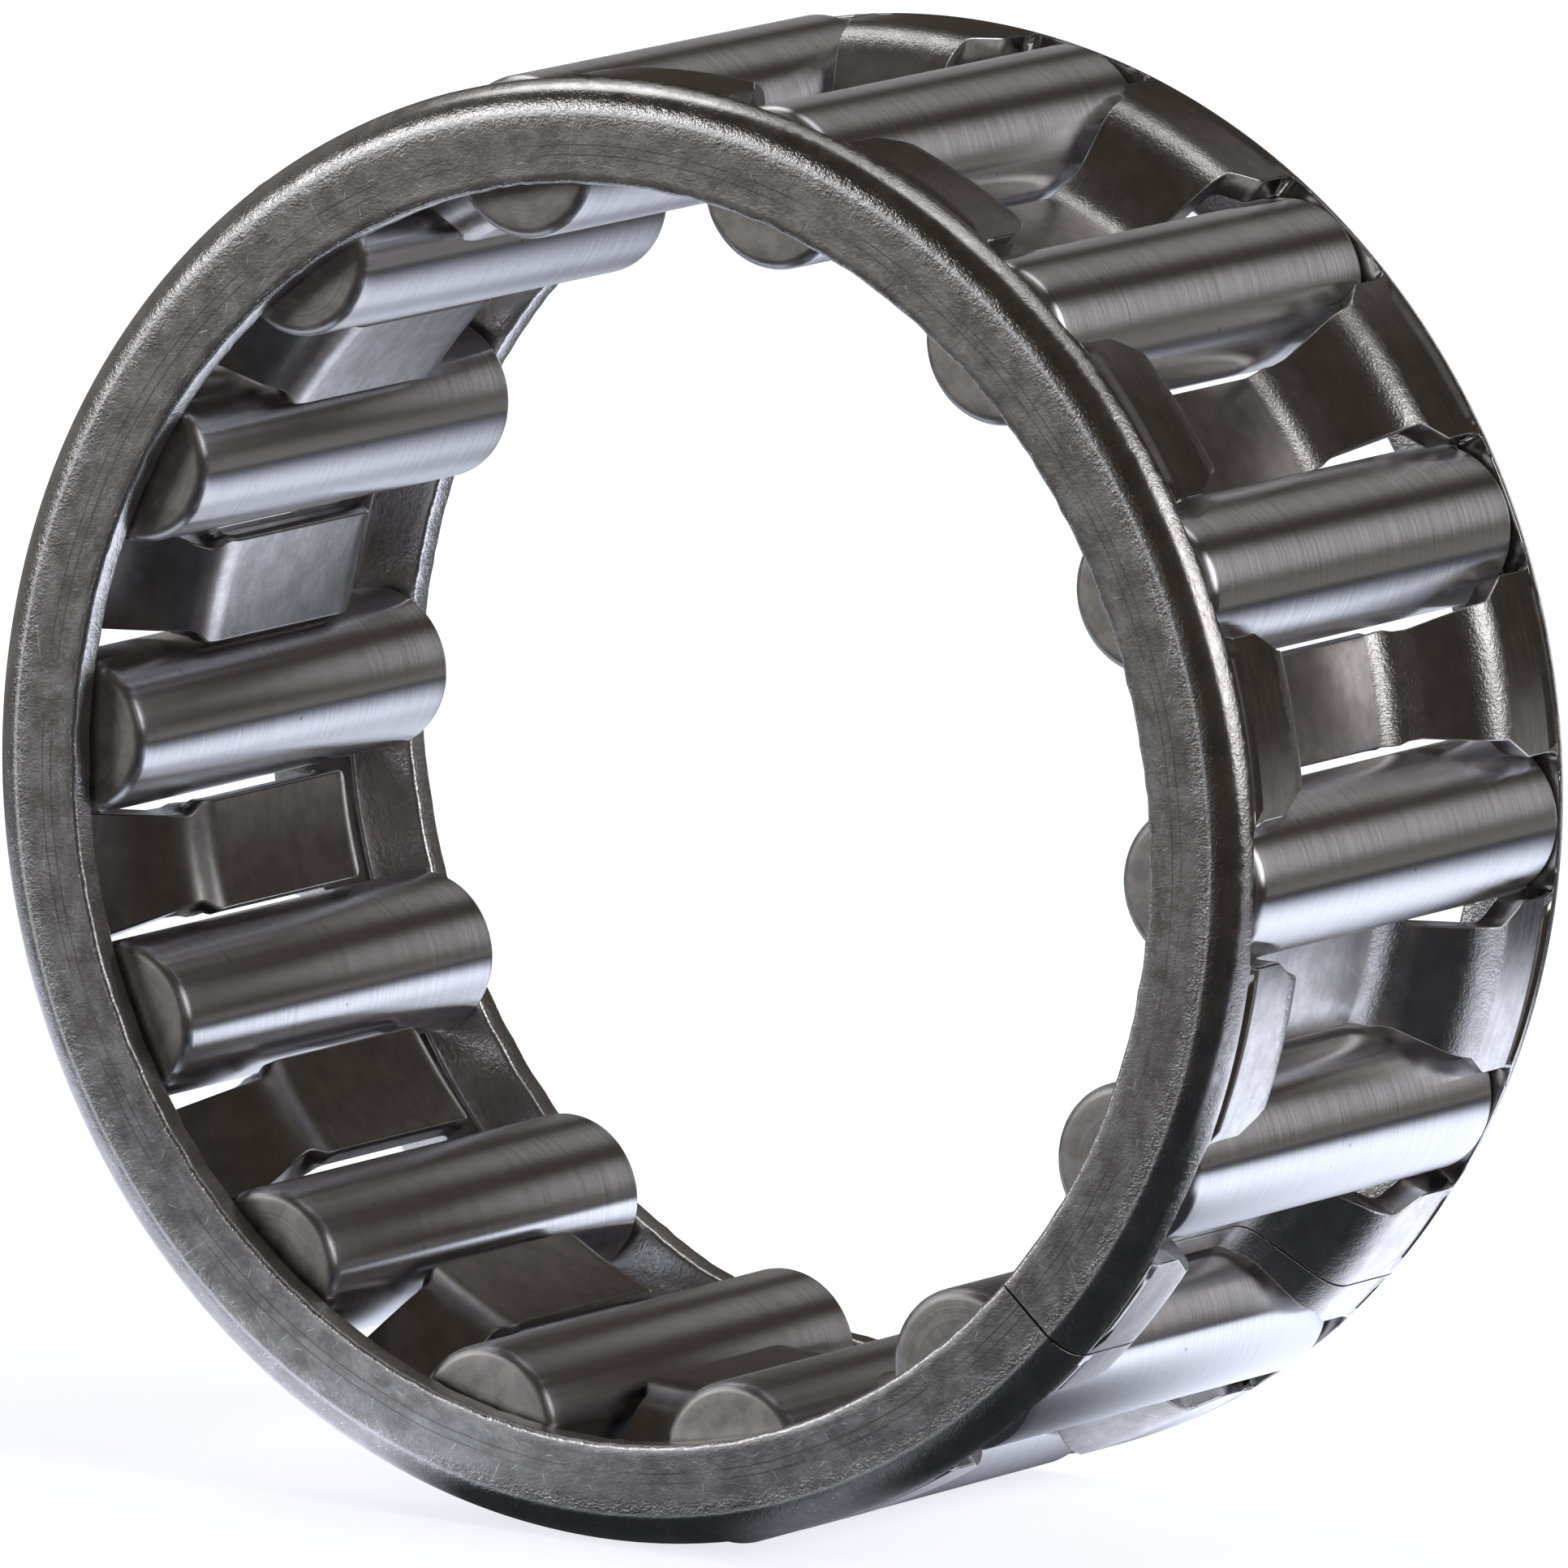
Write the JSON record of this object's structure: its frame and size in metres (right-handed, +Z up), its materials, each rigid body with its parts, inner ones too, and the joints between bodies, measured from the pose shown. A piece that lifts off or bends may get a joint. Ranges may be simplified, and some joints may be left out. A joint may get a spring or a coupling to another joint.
{
  "type": "needle roller bearing",
  "caption": "Radial needle roller and cage assembly: cylindrical needle rollers held in a one-piece M-section pressed steel cage, with no rings.",
  "frame": {"origin": "on the bearing axis at mid-width", "axes": "+Y along the bearing axis from the front face to the rear face, +X through the axis of roller_01, +Z up"},
  "size_m": [0.045, 0.0198, 0.0448],
  "materials": {
    "cage_steel": "pressed and case-hardened sheet steel, dark satin, with smooth ground lands",
    "roller_steel": "ground and polished bearing steel, matt end faces"
  },
  "bodies": {
    "cage": {"cage": "cage_steel"},
    "roller_01": {"roller_01": "roller_steel"},
    "roller_02": {"roller_02": "roller_steel"},
    "roller_03": {"roller_03": "roller_steel"},
    "roller_04": {"roller_04": "roller_steel"},
    "roller_05": {"roller_05": "roller_steel"},
    "roller_06": {"roller_06": "roller_steel"},
    "roller_07": {"roller_07": "roller_steel"},
    "roller_08": {"roller_08": "roller_steel"},
    "roller_09": {"roller_09": "roller_steel"},
    "roller_10": {"roller_10": "roller_steel"},
    "roller_11": {"roller_11": "roller_steel"},
    "roller_12": {"roller_12": "roller_steel"},
    "roller_13": {"roller_13": "roller_steel"},
    "roller_14": {"roller_14": "roller_steel"}
  },
  "joints": [
    {"name": "roller_01_spin", "type": "hinge", "parent": "cage", "child": "roller_01", "pos_m": [0.02, 0, 0], "axis": [0, 1, 0], "continuous": true},
    {"name": "roller_02_spin", "type": "hinge", "parent": "cage", "child": "roller_02", "pos_m": [0.01802, 0, 0.00868], "axis": [0, 1, 0], "continuous": true},
    {"name": "roller_03_spin", "type": "hinge", "parent": "cage", "child": "roller_03", "pos_m": [0.01247, 0, 0.01564], "axis": [0, 1, 0], "continuous": true},
    {"name": "roller_04_spin", "type": "hinge", "parent": "cage", "child": "roller_04", "pos_m": [0.00445, 0, 0.0195], "axis": [0, 1, 0], "continuous": true},
    {"name": "roller_05_spin", "type": "hinge", "parent": "cage", "child": "roller_05", "pos_m": [-0.00445, 0, 0.0195], "axis": [0, 1, 0], "continuous": true},
    {"name": "roller_06_spin", "type": "hinge", "parent": "cage", "child": "roller_06", "pos_m": [-0.01247, 0, 0.01564], "axis": [0, 1, 0], "continuous": true},
    {"name": "roller_07_spin", "type": "hinge", "parent": "cage", "child": "roller_07", "pos_m": [-0.01802, 0, 0.00868], "axis": [0, 1, 0], "continuous": true},
    {"name": "roller_08_spin", "type": "hinge", "parent": "cage", "child": "roller_08", "pos_m": [-0.02, 0, 0], "axis": [0, 1, 0], "continuous": true},
    {"name": "roller_09_spin", "type": "hinge", "parent": "cage", "child": "roller_09", "pos_m": [-0.01802, 0, -0.00868], "axis": [0, 1, 0], "continuous": true},
    {"name": "roller_10_spin", "type": "hinge", "parent": "cage", "child": "roller_10", "pos_m": [-0.01247, 0, -0.01564], "axis": [0, 1, 0], "continuous": true},
    {"name": "roller_11_spin", "type": "hinge", "parent": "cage", "child": "roller_11", "pos_m": [-0.00445, 0, -0.0195], "axis": [0, 1, 0], "continuous": true},
    {"name": "roller_12_spin", "type": "hinge", "parent": "cage", "child": "roller_12", "pos_m": [0.00445, 0, -0.0195], "axis": [0, 1, 0], "continuous": true},
    {"name": "roller_13_spin", "type": "hinge", "parent": "cage", "child": "roller_13", "pos_m": [0.01247, 0, -0.01564], "axis": [0, 1, 0], "continuous": true},
    {"name": "roller_14_spin", "type": "hinge", "parent": "cage", "child": "roller_14", "pos_m": [0.01802, 0, -0.00868], "axis": [0, 1, 0], "continuous": true}
  ]
}
